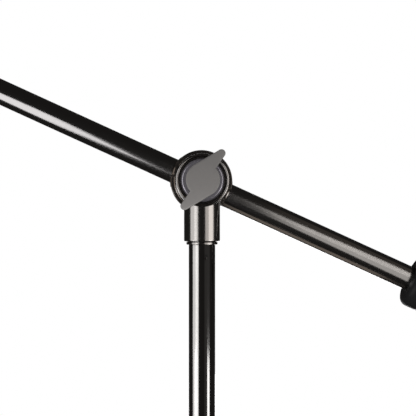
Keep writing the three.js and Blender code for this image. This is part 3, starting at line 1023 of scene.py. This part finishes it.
def clutch():
    fine("pivot_socket", pivot_socket(), CASTING, "head")
    low, high, outer = measured("socket_trim_ring", CLUTCH, UP)
    ring = straight_sleeve(SOCKET_BORE, outer, low, high, 0.9)
    fine("socket_trim_ring", turned(softened(ring), CLUTCH, UP), CASTING, "head")
    plain_washer("friction_disc", 8, FIBRE)
    plain_washer("spring_washer", WASHER_BORE, STEEL)
    thrust_washer()
    wing_knob()
    fine("clamp_housing", clamp_housing(), HOUSING, "boom_clamp")
    rear_cap()
    for side in ("left", "right"):
        low, high, outer = measured(f"boom_liner_{side}", BOOM, BOOM_AXIS)
        on_boom(f"boom_liner_{side}", straight_sleeve(LINER_BORE, outer, low, high, 0.4), NYLON, "boom_clamp")


# ---------------------------------------------------------------- boom

BOOM_WALL = 1.5
PLUG_RADIUS = 9.9
SPIGOT_RADIUS = 8
SPIGOT_WAIST = 6.4
STUD_RADIUS = 4.75
STUD_LENGTH = 12
SPIGOT_END = 52  # from the stud's tip to the spigot's shoulder
SPIGOT_TANG = 5  # radius of the tang inside the plug
WEIGHT_FILLET = 9.5
GROOVE_DEPTH = 0.7
SEAT_RADIUS = 9


def on_boom(node, profile, material, body):
    fine(node, turned(softened(profile), BOOM, BOOM_AXIS), material, body)


def end_cap():
    low, high, outer = measured("boom_end_cap", BOOM, BOOM_AXIS)
    on_boom("boom_end_cap", [
        (0, low, 0),
        (PLUG_RADIUS, low, 0),
        (PLUG_RADIUS, high - 4.7, 0),
        (outer, high - 4.7, 0.3),
        (outer, high - 2.5, 0.6),
        (outer - 2.4, high, 1.6),
        (6, high, 0.4),
        (5, high - 0.6, 0.3),
        (0, high - 0.6, 0),
    ], RUBBER, "boom")


def tip_plug():
    low, high, outer = measured("boom_tip_plug", BOOM, BOOM_AXIS)
    on_boom("boom_tip_plug", [
        (5.3, low, 0.3),
        (outer - 2.2, low, 1),
        (outer, low + 3, 0.8),
        (outer, low + 5, 0.3),
        (outer - 0.7, low + 5.6, 0.3),
        (outer - 0.7, low + 6.8, 0.3),
        (outer, low + 7.4, 0.3),
        (outer, low + 11.7, 0.4),
        (PLUG_RADIUS, low + 11.7, 0),
        (PLUG_RADIUS, high, 0),
        (5.3, high, 0),
    ], CASTING, "boom")


def spigot():
    """The spigot at the boom's tip: a threaded stud, a waisted spigot and its tang."""
    low, high, _ = measured("tip_spigot", BOOM, BOOM_AXIS)
    stud = [(r, h, 0) for r, h in screw_profile(STUD_RADIUS, low, low + STUD_LENGTH)[:-2]]
    on_boom("tip_spigot", stud + [
        (STUD_RADIUS - THREAD_DEPTH, low + STUD_LENGTH, 0),
        (SPIGOT_RADIUS - 1, low + STUD_LENGTH, 0.3),
        (SPIGOT_RADIUS, low + STUD_LENGTH + 1, 0.3),
        (SPIGOT_RADIUS, low + 26, 0.5),
        (SPIGOT_WAIST, low + 28, 0.5),
        (SPIGOT_WAIST, low + 34, 0.5),
        (SPIGOT_RADIUS, low + 36, 0.5),
        (SPIGOT_RADIUS, low + SPIGOT_END, 0),
        (SPIGOT_TANG, low + SPIGOT_END, 0),
        (SPIGOT_TANG, high, 0),
        (0, high, 0),
    ], STEEL, "boom")


def counterweight():
    """A cast cylinder with rounded ends, two grooves and a seat for its lock."""
    low, high, outer = measured("counterweight", BOOM, BOOM_AXIS)
    groove = outer - GROOVE_DEPTH
    profile = [
        (LINER_BORE, low, 0.4),
        (outer, low, WEIGHT_FILLET),
        (outer, low + 16, 0.4),
        (groove, low + 16.7, 0.3),
        (groove, low + 18.3, 0.3),
        (outer, low + 19, 0.4),
        (outer, high - 19, 0.4),
        (groove, high - 18.3, 0.3),
        (groove, high - 16.7, 0.3),
        (outer, high - 16, 0.4),
        (outer, high, WEIGHT_FILLET),
        (LINER_BORE, high, 0.4),
    ]
    seat = [
        (COLLAR_BORE, outer - 4, 0),
        (SEAT_RADIUS, outer - 4, 0),
        (SEAT_RADIUS, outer + 0.9, 0.6),
        (COLLAR_BORE, outer + 0.9, 0.3),
    ]
    centre = BOOM + BOOM_AXIS * ((low + high) / 2 * MM)
    weight = merged(
        turned(softened(profile, 8), BOOM, BOOM_AXIS),
        turned(softened(seat), centre, BOOM_UP, BOSS_ROUND),
    )
    fine("counterweight", weight, ENAMEL, "weight")
    lock_parts("weight_lock", centre, BOOM_UP, -FRONT, 0)


def boom():
    low, high, radius = measured("boom_tube", BOOM, BOOM_AXIS)
    on_boom("boom_tube", straight_sleeve(radius - BOOM_WALL, radius, low, high, 0.4), BOOM_CHROME, "boom")
    end_cap()
    tip_plug()
    spigot()
    counterweight()


# ---------------------------------------------------------------- studio

STRIP_DISTANCE = 0.9
STRIP_HEIGHT = 1.1
STRIP_DROP = 0.05  # below the clutch
BASE_DROP = 0.52
BASE_HALF_ANGLE = 11
WHITE = (1, 1, 1)
COOL = (0.985, 0.98, 1)
WARM = (1, 0.965, 0.935)
BROWN = (1, 0.84, 0.72)

UPRIGHTS = ("riser_2_tube", "riser_1_tube", "column_tube")
CASTINGS = (
    "pivot_socket", "socket_trim_ring", "column_collar", "riser_1_collar", "leg_1_ring", "leg_2_ring",
    "leg_3_ring", "base_cap", "leg_stop_collar",
)
BASE = (
    "column_tube", "column_collar", "riser_1_tube", "riser_1_collar", "base_cap", "leg_stop_collar",
    "leg_1_tube", "leg_2_tube", "leg_3_tube", "leg_1_ring", "leg_2_ring", "leg_3_ring",
)
FITTINGS = ("wing_knob", "thrust_washer", "column_lock_knob", "riser_lock_knob", "weight_lock_knob")
ON_BOOM = ("boom_tube", "boom_tip_plug", "tip_spigot", "boom_end_cap")
DRUM = ("clamp_housing",)
CLUTCH_KNOB = ("wing_knob",)

# name, first and last bearing seen from the mast, radiance, tint, and the nodes whose pieces it falls on
FRONT_STRIPS = (
    ("left_strip", -87, -31, 2.1, WHITE, UPRIGHTS),
    ("left_core", -59, -37.5, 1.2, WHITE, UPRIGHTS),
    ("left_cast", -79, -26.5, 1.75, WHITE, CASTINGS + FITTINGS),
    ("left_cast_core", -51, -35, 1.05, WHITE, CASTINGS),
    ("right_strip", 19.8, 78.5, 1.3, WARM, CASTINGS + FITTINGS),
    ("right_trace", 20, 70, 0.05, WARM, UPRIGHTS),
    ("right_core", 42, 72, 1.3, WARM, CASTINGS),
    ("left_rim", -79, -24.8, 0.5, BROWN, DRUM),
    ("right_rim", 20.5, 80, 0.42, BROWN, DRUM),
)
BACK_STRIPS = (("back_strip", 166, 194, 1.2, WHITE, UPRIGHTS + CASTINGS + FITTINGS),)
BASE_BEARINGS = (-50, 38, 125, 220)
BASE_RADIANCE = 1.3

# name, offset from the clutch, (yaw, pitch, roll), (width, height), radiance, tint, and the nodes
FRONT_PANELS = (
    ("knob_low", (-0.006, -0.078, -0.06), (-6, -50, 0), (0.05, 0.03), 5.5, WHITE, CLUTCH_KNOB),
    ("boom_key", (-0.51, -0.76, -0.47), (-76, 12, 92), (0.9, 1), 2.9, COOL, ON_BOOM),
    ("boom_fill", (0.43, -0.89, -0.02), (76, -24, -2), (0.85, 1.25), 1.15, WARM, ON_BOOM),
    ("boom_glow", (0.91, -1.06, 0.4), (51, -43, -7), (0.85, 1.35), 0.5, WARM, ON_BOOM),
    ("boom_haze", (0.87, -0.36, 0.45), (42, 56, -47), (0.8, 0.9), 0.075, BROWN, ON_BOOM),
    ("boom_below", (-0.045, 0.25, -0.62), (0, -85, 0), (0.28, 0.45), 0.38, BROWN, ON_BOOM),
)
BACK_PANELS = (("boom_back", (0, 0.95, 0), (180, 0, 0), (0.42, 0.42), 2, WHITE, ON_BOOM),)

# name and place beside the mast of the low lamps, which fall on everything
LOW_LAMPS = (("low_left", -1.5, -1.0), ("low_right", 1.5, -1.0), ("low_back", 0.2, 1.7))
LOW_LAMP_HEIGHT = 0.34
LOW_LAMP_RISE = 0.1
LOW_LAMP_SIZE = (0.7, 0.45)
LOW_LAMP_RADIANCE = 4


def area_light(name, centre, out, across, size, radiance, tint=WHITE):
    """A soft panel. out points from the object to the panel, and across lies along its width."""
    width, height = size
    data = bpy.data.lights.new(name, "AREA")
    data.shape = "RECTANGLE"
    data.size = width
    data.size_y = height
    data.energy = radiance * math.pi * width * height
    data.color = tint
    light = bpy.data.objects.new(name, data)
    bpy.context.scene.collection.objects.link(light)
    out = out.normalized()
    across = (across - out * across.dot(out)).normalized()
    other = out.cross(across)
    light.matrix_world = Matrix.Translation(centre) @ Matrix((across, other, out)).transposed().to_4x4()
    light.visible_camera = False
    return light


def keep_to(light, nodes):
    """Lets a light fall only on the pieces made for these nodes, which alone block it. No knob blocks it."""
    lit = bpy.data.collections.new(light.name + "_falls_on")
    blocking = bpy.data.collections.new(light.name + "_blocked_by")
    for name in nodes:
        lit.objects.link(bpy.data.objects[name + "_fine"])
        if "knob" not in name:
            blocking.objects.link(bpy.data.objects[name + "_fine"])
    light.light_linking.receiver_collection = lit
    light.light_linking.blocker_collection = blocking


def panel(name, offset, angles, size, radiance, tint, nodes):
    """A soft panel, placed from the clutch. Yaw and pitch aim it, and roll turns it in its plane."""
    yaw, pitch, roll = (angle * DEG for angle in angles)
    out = Vector((math.sin(yaw) * math.cos(pitch), -math.cos(yaw) * math.cos(pitch), math.sin(pitch)))
    level = Vector((math.cos(yaw), math.sin(yaw), 0))
    across = level * math.cos(roll) + out.cross(level) * math.sin(roll)
    keep_to(area_light(name, CLUTCH + Vector(offset), out, across, size, radiance, tint), nodes)


def strip(name, first, last, radiance, tint, nodes, drop=STRIP_DROP):
    """A tall panel seen from the mast between two bearings, in degrees to the right of the front."""
    bearing = (first + last) / 2
    yaw = bearing * DEG
    width = 2 * STRIP_DISTANCE * math.tan((last - first) / 2 * DEG)
    offset = (STRIP_DISTANCE * math.sin(yaw), -STRIP_DISTANCE * math.cos(yaw), -drop)
    panel(name, offset, (bearing, 0, 0), (width, STRIP_HEIGHT), radiance, tint, nodes)


def low_lamp(name, x, y):
    towards = Vector((x, y, LOW_LAMP_RISE))
    centre = MAST + Vector((x, y, LOW_LAMP_HEIGHT))
    area_light(name, centre, towards, towards.cross(UP), LOW_LAMP_SIZE, LOW_LAMP_RADIANCE)


def studio():
    for row in FRONT_STRIPS:
        strip(*row)
    for row in FRONT_PANELS:
        panel(*row)
    for row in BACK_STRIPS:
        strip(*row)
    for row in BACK_PANELS:
        panel(*row)
    for bearing in BASE_BEARINGS:
        first = bearing - BASE_HALF_ANGLE
        last = bearing + BASE_HALF_ANGLE
        strip("base_strip_%d" % bearing, first, last, BASE_RADIANCE, WHITE, BASE, BASE_DROP)
    for row in LOW_LAMPS:
        low_lamp(*row)


# Strength of the world: what the camera sees, what falls on matt surfaces, and what chrome shows
BACKGROUND = 1.0
SOFT_SKY = 0.5
DARK_STUDIO = 0.03
SKY_COLOR = (1, 1, 1, 1)
DARK_STUDIO_COLOR = (1, 0.94, 0.9, 1)


def world():
    """White behind the object, soft light on what is matt, and a dark studio in what is polished."""
    made = bpy.data.worlds.new("studio")
    bpy.context.scene.world = made
    made.use_nodes = True
    tree = made.node_tree
    tree.nodes.clear()
    rays = tree.nodes.new("ShaderNodeLightPath")
    output = tree.nodes.new("ShaderNodeOutputWorld")

    def sky(strength, color=SKY_COLOR):
        node = tree.nodes.new("ShaderNodeBackground")
        node.inputs["Color"].default_value = color
        node.inputs["Strength"].default_value = strength
        return node.outputs["Background"]

    def choose(factor, first, second):
        node = tree.nodes.new("ShaderNodeMixShader")
        tree.links.new(factor, node.inputs["Fac"])
        tree.links.new(first, node.inputs[1])
        tree.links.new(second, node.inputs[2])
        return node.outputs["Shader"]

    lighting = choose(rays.outputs["Is Glossy Ray"], sky(SOFT_SKY), sky(DARK_STUDIO, DARK_STUDIO_COLOR))
    seen = choose(rays.outputs["Is Camera Ray"], lighting, sky(BACKGROUND))
    tree.links.new(seen, output.inputs["Surface"])


FLOOR_RADIUS = 0.9
FLOOR_SIDES = 160
FLOOR_GAP = 0.0006  # between the feet and the floor
FLOOR_COLOR = (0.8, 0.8, 0.79, 1)


def floor():
    """A round pale floor with a faint glow of its own, which keeps it pale. It doesn't show in the chrome."""
    mesh = bmesh.new()
    bmesh.ops.create_circle(mesh, cap_ends=True, segments=FLOOR_SIDES, radius=FLOOR_RADIUS)
    data = bpy.data.meshes.new("floor")
    mesh.to_mesh(data)
    mesh.free()
    made = bpy.data.objects.new("floor", data)
    bpy.context.scene.collection.objects.link(made)
    made.location = MAST - UP * FLOOR_GAP
    made.visible_glossy = False
    shader = Shader(
        "floor_paper",
        Base_Color=FLOOR_COLOR,
        Roughness=0.9,
        Emission_Color=(1, 1, 1, 1),
        Emission_Strength=0.22,
    )
    grain = shader.noise(shader.place(even(0.4)), 3)
    shader.bump(grain, 0.1, 0.3)
    data.materials.append(shader.material)


LENS = 100
SENSOR = 36
CAMERA_OFFSET = (-0.030, -1.09, -0.0259)  # from the clutch
TARGET_OFFSET = (0.0057, 0, -0.0259)


def camera():
    data = bpy.data.cameras.new("camera")
    made = bpy.data.objects.new("camera", data)
    bpy.context.scene.collection.objects.link(made)
    data.lens = LENS
    data.sensor_width = SENSOR
    place = CLUTCH + Vector(CAMERA_OFFSET)
    target = CLUTCH + Vector(TARGET_OFFSET)
    made.location = place
    made.rotation_euler = (target - place).to_track_quat("-Z", "Y").to_euler()
    bpy.context.scene.camera = made


def finish_cad_nodes():
    """Gives every CAD node the material of its slot, for those that still show."""
    for name, node in frame["nodes"].items():
        node.data.materials.clear()
        node.data.materials.append(SLOTS[SLOT_OF[name]])


bpy.context.scene.view_settings.view_transform = "Standard"
finish_cad_nodes()
base()
mast()
clutch()
boom()
studio()
world()
floor()
camera()
bpy.context.view_layer.update()
